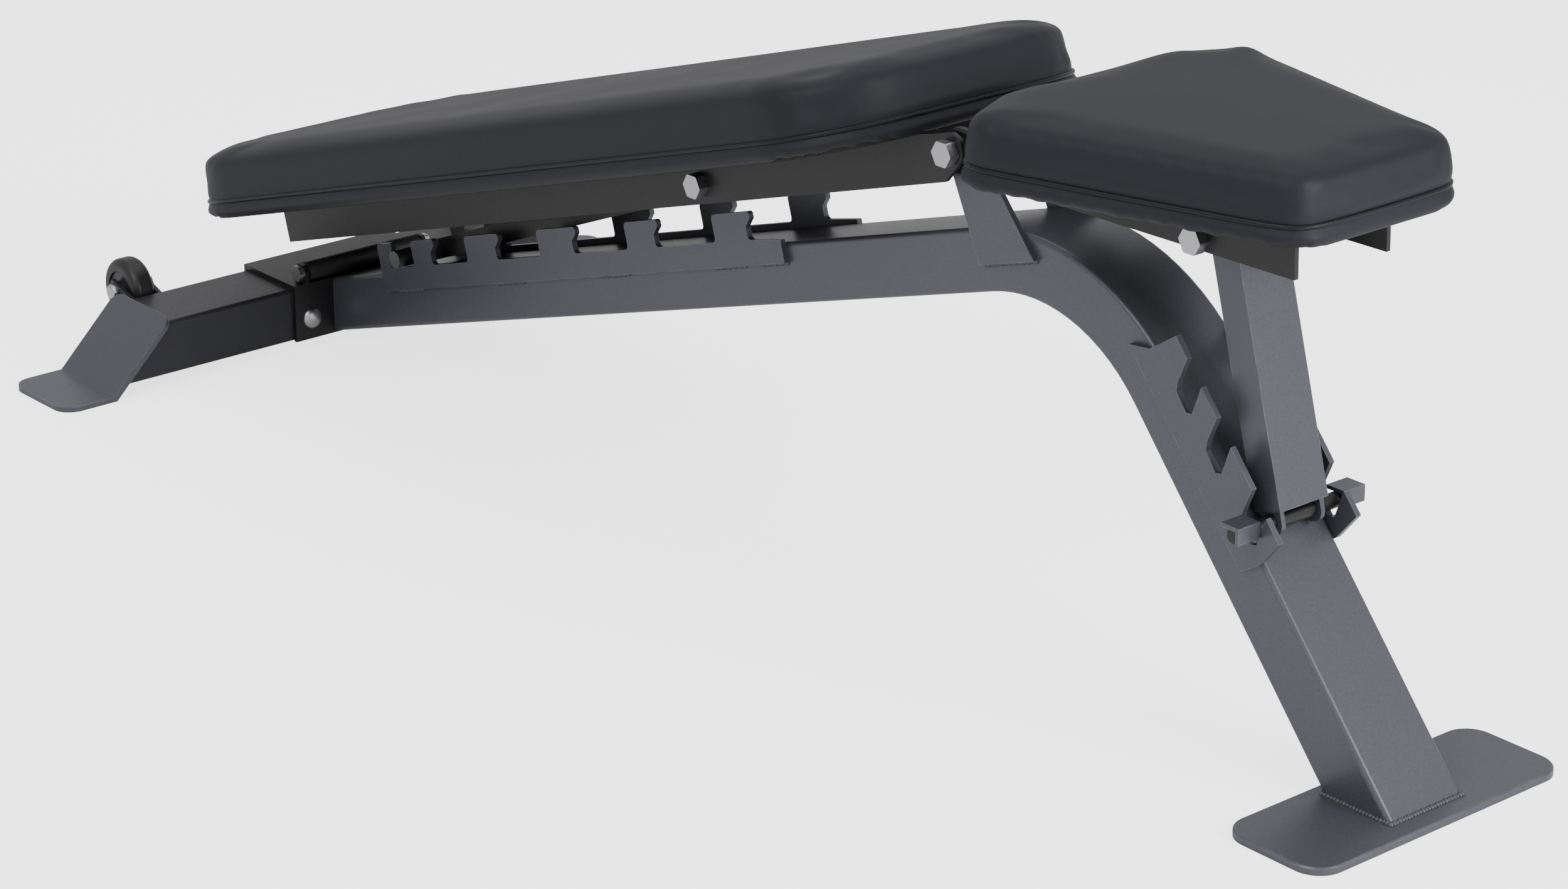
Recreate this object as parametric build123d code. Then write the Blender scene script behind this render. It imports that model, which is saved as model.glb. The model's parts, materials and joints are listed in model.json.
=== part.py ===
# Adjustable flat, incline and decline weight bench, in millimetres, +Z up, +X towards the seat end.
# The origin is on the floor, under the middle of the bench's length and width.
import os
from math import atan2, cos, radians, sin, tan

from build123d import *

# ---- driving sizes -------------------------------------------------------------------------
TUBE_WIDTH = 76.0          # main box tube, across the bench
TUBE_DEPTH = 50.0          # main box tube, in the bench's side view
TUBE_WALL = 2.5
TUBE_CORNER = 4.0          # outside corner of the box tubes
SPINE_SLOPE = 17.4         # degrees, the spine climbs towards the seat
LEG_SLOPE = 49.8           # degrees, the leg falls to the front foot
BEND_RADIUS = 145.0        # inside of the one-piece bend
SPINE_REACH = 1310.0       # front edge of the leg's base to the rear cross tube's front face

FOOT_LENGTH = 95.0         # front foot plate, along X
FOOT_WIDTH = 262.0
FOOT_THICK = 6.0
FOOT_FRONT = 18.0          # plate in front of the leg's base
FOOT_CORNER = 22.0

CROSS_CLEAR = 11.0         # rear cross tube above the floor
CROSS_WIDTH = 76.0         # along X
CROSS_HEIGHT = 50.0
CROSS_HALF = 210.0         # half its length along the top
END_PLATE = 5.0            # bent foot plates at the cross tube's ends
END_DROP_REACH = 61.0      # how far the sloping part spreads outwards
END_FOOT_REACH = 54.0      # flat part of the foot, outwards
END_PLATE_WIDTH = 92.0
END_PLATE_RISE = 5.0       # how far it stands above the cross tube
END_CORNER = 18.0
END_TOP_CORNER = 12.0

SADDLE_THICK = 4.0         # saddle bracket that clamps the spine to the cross tube
SADDLE_HALF = 80.0
SADDLE_BOLT_Y = 62.0
SADDLE_BOLT_HEAD = 10.0    # radius of the domed head

WHEEL_RADIUS = 29.0
WHEEL_WIDTH = 22.0
WHEEL_Y = 186.0
WHEEL_GAP = 3.0            # tyre to cross tube
WHEEL_HEIGHT = 58.0
WHEEL_AXLE = 4.0           # radius
HUB_SHARE = 0.62           # hub's radius over the wheel's
HUB_BOSS = 9.0
HUB_DISH = 2.0             # hub's face set back from the tyre's
RUN_CLEARANCE = 0.06       # radial, shafts in holes
SIDE_CLEARANCE = 0.4       # between faces that turn past each other
EAR_CLEARANCE = 1.4        # wheel to each ear of its bracket
EAR_THICK = 4.0
SEAT_RAIL_GAP = 2.0        # cheek to seat rail
BACK_RAIL_GAP = 4.0        # seat rail to backrest rail
STRUT_GAP = 1.0            # strut to its pivot spacers
ROD_GAP = 2.0              # strut tube to catch rod
GRIP_GAP = 1.0             # grip angle to ladder plate
LUG_THICK = 4.0            # lugs of the stop bar
SLEEVE_GAP = 2.0           # stop sleeve to each lug

STOP_BAR_RADIUS = 5.0
STOP_SLEEVE_RADIUS = 9.0
STOP_BAR_HALF = 68.0

SIDE_PLATE = 5.0           # comb, ladder and hinge plates on the frame's sides
COMB_OVERLAP = 16.0        # comb plate's lower edge below the spine's top
COMB_NECK = 5.0            # notch floor above the spine's top
COMB_TOOTH = 23.0          # tooth height above the notch floor
COMB_HOOK = 7.0            # how far a tooth's tip hooks forward
COMB_TIP = 6.0             # height of the hook's tip
COMB_UNDERCUT = 12.0       # below the tooth's top, where the hook ends
NOTCH_ROUND = 4.0
COMB_START = 112.0         # rear end of the comb along the spine
COMB_END = 697.0
COMB_TEETH = ((112.0, 128.0), (167.0, 196.0), (253.0, 298.0), (364.0, 414.0), (492.0, 531.0), (613.0, 656.0))

LADDER_DEPTH = 29.0        # ladder plate in front of the leg
LADDER_OVERLAP = 20.0
LADDER_TOP = 376.0         # along the leg from the foot
LADDER_BOTTOM = 204.0
LADDER_NOTCHES = (346.0, 298.0, 241.0)
NOTCH_MOUTH = 23.0
NOTCH_DROP = 12.0          # the notch's floor lies this much lower than its mouth

HINGE_SETBACK = 121.9      # backrest and seat axle behind the bend's outer corner, along the spine
HINGE_RISE = 61.0          # above the spine's top face
AXLE_RADIUS = 6.0
HINGE_PLATE_FOOT = 62.0
HINGE_PLATE_HEAD = 40.0

RAIL_THICK = 4.0
RAIL_FLANGE = 20.0
EAR_BELOW_PAD = 1.0        # top of the backrest rail's ear under the pad
BACK_RAIL_BELOW = 22.0     # backrest rail's lower edge below the hinge
BACK_RAIL_ABOVE = 16.0     # and its top, where the pad lies
BACK_RAIL_REAR = 949.0     # hinge to the rail's rear end
BACK_PAD_HEAD = 989.0      # hinge to the pad's head end
BACK_PAD_TAIL = 22.0       # hinge to the pad's other end
BACK_PAD_HALF = 152.0
BACK_PAD_THICK = 60.0
BACK_HEAD_CORNER = 95.0
BACK_TAIL_CORNER = 88.0
PAD_EDGE = 12.0
BOARD_THICK = 12.0
BOARD_INSET = 9.0

SEAT_SLOPE = 1.2           # degrees, front higher
SEAT_RAIL_BELOW = 18.0
SEAT_RAIL_ABOVE = 17.0
SEAT_RAIL_FRONT = 344.0
SEAT_PAD_REAR = 77.0       # hinge to the seat pad's rear edge
SEAT_PAD_FRONT = 382.0
SEAT_PAD_REAR_HALF = 154.0
SEAT_PAD_TAIL_HALF = 88.0
SEAT_PAD_FRONT_HALF = 84.0
SEAT_PAD_SHOULDER = 30.0   # length of the slanted rear corner
SEAT_PAD_THICK = 55.0
SEAT_PAD_CORNER = 30.0
SEAT_PAD_EDGE = 12.0

STRUT_PIVOT_BACK = 313.0   # hinge to the backrest strut's pivot
STRUT_PIVOT_DROP = 6.0
STRUT_WIDTH = 50.0
STRUT_THICK = 18.0
STRUT_PIN_RADIUS = 8.0
STRUT_PIN_HALF = 50.0
STRUT_PIN_ALONG = 147.0    # where the pin lies in the first notch, along the spine

SEAT_STRUT_PIVOT = 251.0   # hinge to the seat strut's pivot
SEAT_STRUT_DROP = 10.0
SEAT_STRUT_WIDTH = 50.0
SEAT_STRUT_THICK = 26.0
SEAT_STRUT_WALL = 2.5
TONGUE_HALF = 10.0
TONGUE_THICK = 4.0
CATCH_RADIUS = 6.0
CATCH_HALF = 62.0
GRIP_HALF = 66.0           # outer end of the grip angles
GRIP_THICK = 3.0
GRIP_LEG = 13.0            # height of their upright leg
FLANGE_GAP = 4.0           # seat strut to each seat rail's flange
CATCH_ALONG = 229.0        # catch rod in the lowest ladder notch, along the leg
CATCH_OUT = 11.0           # and in front of the leg's face

PIVOT_BOLT = 6.0           # radius of both strut pivot bolts
SPACER_WALL = 4.0
BOLT_HEAD_ACROSS = 1.65    # hexagon's circumscribed radius over the bolt's radius
BOLT_HEAD_HEIGHT = 9.0

# ---- places worked out from the sizes -------------------------------------------------------
WHEEL_X = -SPINE_REACH - CROSS_WIDTH - WHEEL_GAP - WHEEL_RADIUS
HUB_RADIUS = WHEEL_RADIUS * HUB_SHARE
MIDDLE_X = (FOOT_FRONT + WHEEL_X - WHEEL_RADIUS) / 2
HALF_TUBE = TUBE_WIDTH / 2
PLATE_OUT = HALF_TUBE + SIDE_PLATE
SEAT_RAIL_IN = PLATE_OUT + SEAT_RAIL_GAP
SEAT_RAIL_OUT = SEAT_RAIL_IN + RAIL_THICK
BACK_RAIL_IN = SEAT_RAIL_OUT + BACK_RAIL_GAP
BACK_RAIL_OUT = BACK_RAIL_IN + RAIL_THICK
NECK_RISE = TUBE_DEPTH + COMB_NECK


def at_spine(along, rise):
    """Side-view point, along the spine from its rear lower edge and square to it."""
    slope = radians(SPINE_SLOPE)
    x = -SPINE_REACH + along * cos(slope) - rise * sin(slope)
    z = CROSS_CLEAR + along * sin(slope) + rise * cos(slope)
    return (x - MIDDLE_X, z)


def at_leg(along, out):
    """Side-view point, up the leg's front face from the foot plate and out from it."""
    slope = radians(LEG_SLOPE)
    x = -along * cos(slope) + out * sin(slope)
    z = FOOT_THICK + along * sin(slope) + out * cos(slope)
    return (x - MIDDLE_X, z)


def crossing(first, second, third, fourth):
    """Where the line through two points meets the line through two more."""
    ax, az = second[0] - first[0], second[1] - first[1]
    bx, bz = fourth[0] - third[0], fourth[1] - third[1]
    share = ((third[0] - first[0]) * bz - (third[1] - first[1]) * bx) / (ax * bz - az * bx)
    return (first[0] + share * ax, first[1] + share * az)


def along_spine(spot):
    """How far along the spine a side-view point lies."""
    slope = radians(SPINE_SLOPE)
    return (spot[0] + MIDDLE_X + SPINE_REACH) * cos(slope) + (spot[1] - CROSS_CLEAR) * sin(slope)


BEND = crossing(at_spine(0, TUBE_DEPTH), at_spine(600, TUBE_DEPTH), at_leg(0, 0), at_leg(300, 0))
HINGE_ALONG = along_spine(BEND) - HINGE_SETBACK
HINGE = at_spine(HINGE_ALONG, TUBE_DEPTH + HINGE_RISE)


def at_seat(along, rise):
    """Side-view point in the seat's own directions, from the hinge."""
    slope = radians(SEAT_SLOPE)
    x = HINGE[0] + along * cos(slope) - rise * sin(slope)
    z = HINGE[1] + along * sin(slope) + rise * cos(slope)
    return (x, z)


def at_back(behind, rise):
    """Side-view point in the backrest's own directions, behind the hinge."""
    return at_spine(HINGE_ALONG - behind, TUBE_DEPTH + HINGE_RISE + rise)


# ---- shared shapes --------------------------------------------------------------------------
def side_face(points, rounds=None):
    """A face in the side view, with the listed corners rounded."""
    face = Plane.XZ * make_face(Polyline(*points, close=True))
    for index, radius in (rounds or {}).items():
        spot = Vector(points[index][0], 0, points[index][1])
        corner = min(face.vertices(), key=lambda v: (v.center() - spot).length)
        face = fillet(corner, radius)
    return face


def side_plate(points, inner, outer, side, rounds=None):
    """A flat plate in the side view between two distances from the middle, on one side."""
    solid = extrude(side_face(points, rounds), amount=outer - inner)
    return Pos(0, outer if side > 0 else -inner, 0) * solid


def middle_block(points, width, rounds=None):
    return extrude(side_face(points, rounds), amount=width / 2, both=True)


def rod_y(spot, radius, low, high):
    """A round bar across the bench."""
    return Pos(spot[0], (low + high) / 2, spot[1]) * Rot(90, 0, 0) * Cylinder(radius, high - low)


def ring_y(spot, outer, inner, low, high):
    return rod_y(spot, outer, low, high) - rod_y(spot, inner, low - 1, high + 1)


def hex_y(spot, radius, low, high):
    """A hexagon head or nut across the bench."""
    hexagon = extrude(RegularPolygon(radius, 6), amount=(high - low) / 2, both=True)
    return Pos(spot[0], (low + high) / 2, spot[1]) * Rot(90, 0, 0) * hexagon


def cross_bolt(spot, radius, half, head_side):
    """A bolt across the bench with a chamfered hexagon head, and its nut."""
    head = radius * BOLT_HEAD_ACROSS * 1.1
    low, high = -half, half
    shank = rod_y(spot, radius, low - BOLT_HEAD_HEIGHT, high + BOLT_HEAD_HEIGHT)
    ends = []
    for side in (-1, 1):
        a, b = (high, high + BOLT_HEAD_HEIGHT) if side > 0 else (low - BOLT_HEAD_HEIGHT, low)
        ends.append(hex_y(spot, head, a, b) & rod_y(spot, head * 0.97, a, b))
    bolt_end, nut_end = (ends[1], ends[0]) if head_side > 0 else (ends[0], ends[1])
    tail = rod_y(spot, radius, low - BOLT_HEAD_HEIGHT, high)
    if head_side < 0:
        tail = rod_y(spot, radius, low, high + BOLT_HEAD_HEIGHT)
    return tail + bolt_end, nut_end - shank


parts = {}


def both_sides(name, maker):
    for side, word in ((1, "left"), (-1, "right")):
        parts[f"{name}_{word}"] = maker(side)


# ---- main frame -----------------------------------------------------------------------------
def frame_outline(inset, past):
    """The bent tube's side view, drawn in by the wall and run past its ends."""
    low_rear, low_front = at_spine(-past, inset), at_spine(600, inset)
    top_rear, top_front = at_spine(-past, TUBE_DEPTH - inset), at_spine(600, TUBE_DEPTH - inset)
    foot = -past
    back_low, back_high = at_leg(foot, inset - TUBE_DEPTH), at_leg(300, inset - TUBE_DEPTH)
    face_low, face_high = at_leg(foot, -inset), at_leg(300, -inset)
    inner = crossing(low_rear, low_front, back_low, back_high)
    outer = crossing(top_rear, top_front, face_low, face_high)
    return [low_rear, inner, back_low, face_low, outer, top_rear]


def main_frame():
    rounds = {1: BEND_RADIUS, 4: BEND_RADIUS + TUBE_DEPTH}
    outside = middle_block(frame_outline(0, 80), TUBE_WIDTH, rounds)
    long_edges = [e for e in outside.edges() if abs(abs(e.center().Y) - HALF_TUBE) < 0.01]
    ends = [e for e in long_edges if e.length < TUBE_DEPTH + 30 and e.geom_type == GeomType.LINE]
    outside = fillet([e for e in long_edges if e not in ends], TUBE_CORNER)
    rounds = {1: BEND_RADIUS + TUBE_WALL, 4: BEND_RADIUS + TUBE_DEPTH - TUBE_WALL}
    inside = middle_block(frame_outline(TUBE_WALL, 90), TUBE_WIDTH - 2 * TUBE_WALL, rounds)
    tube = outside - inside
    rear = -SPINE_REACH - MIDDLE_X + SADDLE_THICK
    keep = Pos((rear + 800) / 2, 0, 300 + FOOT_THICK) * Box(800 - rear, 200, 600)
    return tube & keep


def comb_plate(side):
    """Catch plate on the spine's side: hooked teeth that hold the backrest strut's pin."""
    low = TUBE_DEPTH - COMB_OVERLAP
    neck, top = NECK_RISE, NECK_RISE + COMB_TOOTH
    points = [at_spine(COMB_START, low)]
    rounds = {}
    for rear, front in COMB_TEETH:
        first = len(points)
        tip = front + COMB_HOOK
        points += [at_spine(rear, neck), at_spine(rear, top), at_spine(tip, top)]
        points += [at_spine(tip, top - COMB_TIP), at_spine(front, top - COMB_UNDERCUT)]
        points.append(at_spine(front, neck))
        rounds.update({first: NOTCH_ROUND, first + 1: 4.0, first + 2: 2.5, first + 3: 2.0, first + 4: 4.0})
        rounds[first + 5] = NOTCH_ROUND
    del rounds[1]
    points += [at_spine(COMB_END, neck - 2), at_spine(COMB_END, low)]
    return side_plate(points, HALF_TUBE, PLATE_OUT, side, rounds)


def ladder_plate(side):
    """Catch plate on the leg's side: three slanted notches for the seat strut's catch rod."""
    points = [at_leg(LADDER_TOP + 16, -LADDER_OVERLAP), at_leg(LADDER_TOP + 4, -2)]
    points += [at_leg(LADDER_TOP, LADDER_DEPTH)]
    half = NOTCH_MOUTH / 2
    for mouth in LADDER_NOTCHES:
        floor = mouth - NOTCH_DROP
        points += [at_leg(mouth + half, LADDER_DEPTH), at_leg(floor + half + 2, 9)]
        points += [at_leg(floor + half - 3, 4)]
        points += [at_leg(floor - half + 3, 3), at_leg(floor - half, 8), at_leg(mouth - half, LADDER_DEPTH)]
    points += [at_leg(LADDER_BOTTOM + 5, LADDER_DEPTH), at_leg(LADDER_BOTTOM, 0)]
    points += [at_leg(LADDER_BOTTOM + 4, -LADDER_OVERLAP)]
    return side_plate(points, HALF_TUBE, PLATE_OUT, side)


def hinge_plate(side):
    """Upright cheek on the frame's side that carries the common axle."""
    foot = TUBE_DEPTH - 28
    low_rear = at_spine(HINGE_ALONG - 8, foot)
    low_front = at_spine(HINGE_ALONG - 8 + HINGE_PLATE_FOOT, foot)
    half = HINGE_PLATE_HEAD / 2
    points = [low_rear, low_front, (HINGE[0] + half + 3, HINGE[1] - 6), (HINGE[0] + half - 6, HINGE[1] + 15)]
    points += [(HINGE[0] - half + 6, HINGE[1] + 15), (HINGE[0] - half, HINGE[1] - 6)]
    plate = side_plate(points, HALF_TUBE, PLATE_OUT, side, {3: 10, 4: 10})
    return plate - rod_y(HINGE, AXLE_RADIUS + RUN_CLEARANCE, -200, 200)


def front_foot_plate():
    plate = Pos(FOOT_FRONT - FOOT_LENGTH / 2 - MIDDLE_X, 0, 0) * extrude(
        RectangleRounded(FOOT_LENGTH, FOOT_WIDTH, FOOT_CORNER), amount=FOOT_THICK
    )
    return chamfer(plate.faces().sort_by(Axis.Z)[-1].edges(), 1.0)


parts["main_frame"] = main_frame()
both_sides("comb_plate", comb_plate)
both_sides("ladder_plate", ladder_plate)
both_sides("hinge_plate", hinge_plate)
parts["front_foot_plate"] = front_foot_plate()

# ---- rear stabiliser ------------------------------------------------------------------------
CROSS_FRONT = -SPINE_REACH - MIDDLE_X
CROSS_X = CROSS_FRONT - CROSS_WIDTH / 2
CROSS_Z = CROSS_CLEAR + CROSS_HEIGHT / 2
CROSS_TOP = CROSS_CLEAR + CROSS_HEIGHT
END_SLOPE = atan2(CROSS_TOP, END_DROP_REACH)
PLATE_FOOT = (CROSS_HALF + END_DROP_REACH, 0.0)


def on_end_slope(height, out=0.0):
    """Point at a height on the foot plate's inner face, or moved out square to it."""
    y = PLATE_FOOT[0] - height / tan(END_SLOPE)
    return (y + out * sin(END_SLOPE), height + out * cos(END_SLOPE))


def rear_cross_tube():
    """Box tube whose ends are cut on the slope of the foot plates."""
    outside = Box(CROSS_WIDTH, 2 * PLATE_FOOT[0], CROSS_HEIGHT)
    outside = fillet(outside.edges().filter_by(Axis.Y), TUBE_CORNER)
    inside = Box(CROSS_WIDTH - 2 * TUBE_WALL, 2 * PLATE_FOOT[0] + 2, CROSS_HEIGHT - 2 * TUBE_WALL)
    tube = Pos(CROSS_X, 0, CROSS_Z) * (outside - inside)
    above = on_end_slope(2 * CROSS_TOP)
    for side in (-1, 1):
        beyond = [PLATE_FOOT, above, (PLATE_FOOT[0] + 50, above[1]), (PLATE_FOOT[0] + 50, 0)]
        face = Plane.YZ * make_face(Polyline(*[(side * y, z) for y, z in beyond], close=True))
        tube -= Pos(CROSS_X, 0, 0) * extrude(face, amount=CROSS_WIDTH, both=True)
    return tube


def rear_saddle():
    """Bent bracket over the cross tube's top, rear and front, bolted to it and welded to the spine."""
    outer = Box(CROSS_WIDTH + 2 * SADDLE_THICK, 2 * SADDLE_HALF, CROSS_HEIGHT + SADDLE_THICK)
    outer = Pos(CROSS_X, 0, CROSS_CLEAR + (CROSS_HEIGHT + SADDLE_THICK) / 2) * outer
    inner = Pos(CROSS_X, 0, CROSS_Z) * Box(CROSS_WIDTH, 2 * SADDLE_HALF + 2, CROSS_HEIGHT)
    return outer - inner


def saddle_bolts():
    """Domed bolt heads on the saddle's front face."""
    front = CROSS_FRONT + SADDLE_THICK
    group = []
    for side in (-1, 1):
        dome = Sphere(SADDLE_BOLT_HEAD) & (Pos(20, 0, 0) * Box(40, 40, 40))
        dome = Pos(front, side * SADDLE_BOLT_Y, CROSS_Z - 5) * scale(dome, (0.55, 1, 1))
        group.append(dome)
    return Compound(group)


def rear_foot(side):
    """Bent plate: down the cross tube's end, spreading outwards, then flat on the floor."""
    t = END_PLATE
    y1 = PLATE_FOOT[0]
    y2 = y1 + END_FOOT_REACH
    top = CROSS_TOP + END_PLATE_RISE - t * cos(END_SLOPE)
    points = [on_end_slope(top, t), (y1 + t * tan(END_SLOPE / 2), t), (y2, t), (y2, 0), PLATE_FOOT]
    points.append(on_end_slope(top))
    face = Plane.YZ * make_face(Polyline(*[(side * y, z) for y, z in points], close=True))
    plate = extrude(face, amount=END_PLATE_WIDTH)
    plate = Pos(CROSS_FRONT + 3 - plate.bounding_box().max.X, 0, 0) * plate
    outer = [e for e in plate.edges().filter_by(Axis.Z) if abs(abs(e.center().Y) - y2) < 0.5]
    plate = fillet(outer, END_CORNER)
    box = plate.bounding_box()
    upper = []
    for edge in plate.edges():
        spot = edge.center()
        at_end = min(abs(spot.X - box.min.X), abs(spot.X - box.max.X)) < 0.01
        if at_end and spot.Z > top and edge.length < 2 * t:
            upper.append(edge)
    return fillet(upper, END_TOP_CORNER)


def wheel_bracket(side):
    """Two ears and a web behind the cross tube that carry the wheel's axle."""
    half = WHEEL_WIDTH / 2 + EAR_CLEARANCE
    rear = -SPINE_REACH - CROSS_WIDTH - MIDDLE_X
    ears = []
    for edge in (-1, 1):
        inner = WHEEL_Y + edge * half
        low, high = sorted((inner, inner + edge * EAR_THICK))
        x, z = WHEEL_X - MIDDLE_X, WHEEL_HEIGHT
        points = [(rear, CROSS_CLEAR + 14), (x - 4, z - 12), (x - 12, z)]
        points += [(x - 4, z + 11), (rear, CROSS_TOP - 4)]
        ears.append(side_plate(points, low, high, side, {2: 8}))
    hole = rod_y((WHEEL_X - MIDDLE_X, WHEEL_HEIGHT), WHEEL_AXLE + RUN_CLEARANCE, -400, 400)
    return Compound([ear - hole for ear in ears])


def wheel_axle(side):
    spot = (WHEEL_X - MIDDLE_X, WHEEL_HEIGHT)
    half = WHEEL_WIDTH / 2 + EAR_CLEARANCE + EAR_THICK
    shank = rod_y(spot, WHEEL_AXLE, WHEEL_Y - half - 5, WHEEL_Y + half)
    head = rod_y(spot, 7.5, WHEEL_Y + half, WHEEL_Y + half + 5)
    head = fillet(head.edges().filter_by(GeomType.CIRCLE).sort_by(Axis.Y)[-1], 3.0)
    nut = hex_y(spot, 8.0, WHEEL_Y - half - 5, WHEEL_Y - half)
    axle = shank + head + nut
    return axle if side > 0 else mirror(axle, Plane.XZ)


def wheel_hub(side):
    spot = (WHEEL_X - MIDDLE_X, WHEEL_HEIGHT)
    half = WHEEL_WIDTH / 2
    bore = WHEEL_AXLE + RUN_CLEARANCE
    dished = half - HUB_DISH
    hub = ring_y(spot, HUB_RADIUS, bore, WHEEL_Y - dished, WHEEL_Y + dished)
    hub += ring_y(spot, HUB_BOSS, bore, WHEEL_Y - half, WHEEL_Y + half)
    return hub if side > 0 else mirror(hub, Plane.XZ)


def wheel_tyre(side):
    spot = (WHEEL_X - MIDDLE_X, WHEEL_HEIGHT)
    half = WHEEL_WIDTH / 2
    tyre = ring_y(spot, WHEEL_RADIUS, HUB_RADIUS, WHEEL_Y - half, WHEEL_Y + half)
    rims = [e for e in tyre.edges().filter_by(GeomType.CIRCLE) if e.radius > WHEEL_RADIUS - 1]
    tyre = fillet(rims, 7.0)
    return tyre if side > 0 else mirror(tyre, Plane.XZ)


STOP = (CROSS_FRONT - 4, CROSS_TOP + SADDLE_THICK + STOP_SLEEVE_RADIUS)
SLEEVE_HALF = STOP_BAR_HALF - LUG_THICK - SLEEVE_GAP


def stop_brackets():
    """Two small lugs on the saddle that hold the stop bar."""
    x, z = STOP
    lugs = []
    for side in (-1, 1):
        points = [(x - 9, CROSS_TOP + SADDLE_THICK), (x + 8, CROSS_TOP + SADDLE_THICK), (x + 8, z + 2)]
        points += [(x + 4, z + 8), (x - 4, z + 8), (x - 9, z + 2)]
        lug = side_plate(points, STOP_BAR_HALF - LUG_THICK, STOP_BAR_HALF, side)
        lugs.append(lug - rod_y(STOP, STOP_BAR_RADIUS + RUN_CLEARANCE, -200, 200))
    return Compound(lugs)


def stop_screws():
    group = []
    for side in (-1, 1):
        low, high = sorted((side * STOP_BAR_HALF, side * (STOP_BAR_HALF + 5)))
        group.append(hex_y(STOP, 8.0, low, high) & rod_y(STOP, 7.7, low, high))
    return Compound(group)


parts["rear_cross_tube"] = rear_cross_tube()
parts["rear_saddle"] = rear_saddle()
parts["saddle_bolts"] = saddle_bolts()
both_sides("rear_foot", rear_foot)
both_sides("wheel_bracket", wheel_bracket)
both_sides("wheel_axle", wheel_axle)
both_sides("wheel_hub", wheel_hub)
both_sides("wheel_tyre", wheel_tyre)
parts["stop_bar"] = rod_y(STOP, STOP_BAR_RADIUS, -STOP_BAR_HALF, STOP_BAR_HALF)
parts["stop_sleeve"] = ring_y(STOP, STOP_SLEEVE_RADIUS, STOP_BAR_RADIUS, -SLEEVE_HALF, SLEEVE_HALF)
parts["stop_brackets"] = stop_brackets()
parts["stop_screws"] = stop_screws()

# ---- common axle ----------------------------------------------------------------------------
AXLE_HALF = BACK_RAIL_OUT + SIDE_CLEARANCE


def hinge_spacers():
    """Washers on the axle between the cheeks, the seat rails and the backrest rails."""
    group = []
    for inner, outer in ((PLATE_OUT, SEAT_RAIL_IN), (SEAT_RAIL_OUT, BACK_RAIL_IN)):
        start = inner if inner == PLATE_OUT else inner + SIDE_CLEARANCE
        for side in (-1, 1):
            low, high = sorted((side * start, side * (outer - SIDE_CLEARANCE)))
            group.append(ring_y(HINGE, AXLE_RADIUS + 5, AXLE_RADIUS + RUN_CLEARANCE, low, high))
    return Compound(group)


parts["hinge_axle"], parts["hinge_nut"] = cross_bolt(HINGE, AXLE_RADIUS, AXLE_HALF, -1)
parts["hinge_spacers"] = hinge_spacers()

# ---- backrest -------------------------------------------------------------------------------
BACK_PIVOT = at_back(STRUT_PIVOT_BACK, -STRUT_PIVOT_DROP)


def backrest_rail(side):
    """Angle rail: upright web with an ear for the axle, and a flange under the pad."""
    low, top = -BACK_RAIL_BELOW, BACK_RAIL_ABOVE
    ear = top - EAR_BELOW_PAD
    web = [at_back(BACK_RAIL_REAR, low), at_back(12, low), at_back(1 - ear, -6), at_back(1 - ear, 8)]
    web += [at_back(-6, ear), at_back(14, ear), at_back(30, top), at_back(BACK_RAIL_REAR, top)]
    rail = side_plate(web, BACK_RAIL_IN, BACK_RAIL_OUT, side, {2: 8, 3: 8, 4: 8})
    end = BACK_PAD_TAIL + 40
    flange = [at_back(BACK_RAIL_REAR, top - RAIL_THICK), at_back(end, top - RAIL_THICK)]
    flange += [at_back(end, top), at_back(BACK_RAIL_REAR, top)]
    rail += side_plate(flange, BACK_RAIL_IN - RAIL_FLANGE, BACK_RAIL_IN, side)
    rail -= rod_y(HINGE, AXLE_RADIUS + RUN_CLEARANCE, -200, 200)
    return rail - rod_y(BACK_PIVOT, PIVOT_BOLT + RUN_CLEARANCE, -200, 200)


BACK_STRAPS = (130.0, 500.0, 870.0)
BACK_STRAP_WIDTH = 40.0


def backrest_straps():
    """Flat bars across the rails' flanges, under the board."""
    group = []
    half = BACK_RAIL_IN - RAIL_FLANGE
    for behind in BACK_STRAPS:
        low, top = BACK_RAIL_ABOVE - RAIL_THICK, BACK_RAIL_ABOVE
        points = [at_back(behind + BACK_STRAP_WIDTH / 2, low), at_back(behind - BACK_STRAP_WIDTH / 2, low)]
        points += [at_back(behind - BACK_STRAP_WIDTH / 2, top), at_back(behind + BACK_STRAP_WIDTH / 2, top)]
        group.append(middle_block(points, 2 * half))
    return Compound(group)


def pad_plane(spot, slope):
    """Plane under a pad: its own x runs forward along the pad."""
    ahead = (cos(slope), 0, sin(slope))
    up = (-sin(slope), 0, cos(slope))
    return Plane(origin=(spot[0], 0, spot[1]), x_dir=ahead, z_dir=up)


def pad_outline(points, rounds, inset):
    face = make_face(Polyline(*points, close=True))
    for index, radius in rounds.items():
        spot = Vector(points[index][0], points[index][1], 0)
        corner = min(face.vertices(), key=lambda v: (v.center() - spot).length)
        face = fillet(corner, radius)
    if inset:
        face = offset(face, -inset)
    return face


def backrest_outline(inset=0.0):
    half = BACK_PAD_HALF
    points = [(-BACK_PAD_HEAD, -half), (-BACK_PAD_TAIL, -half)]
    points += [(-BACK_PAD_TAIL, half), (-BACK_PAD_HEAD, half)]
    rounds = {0: BACK_HEAD_CORNER, 1: BACK_TAIL_CORNER, 2: BACK_TAIL_CORNER, 3: BACK_HEAD_CORNER}
    return pad_outline(points, rounds, inset)


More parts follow.
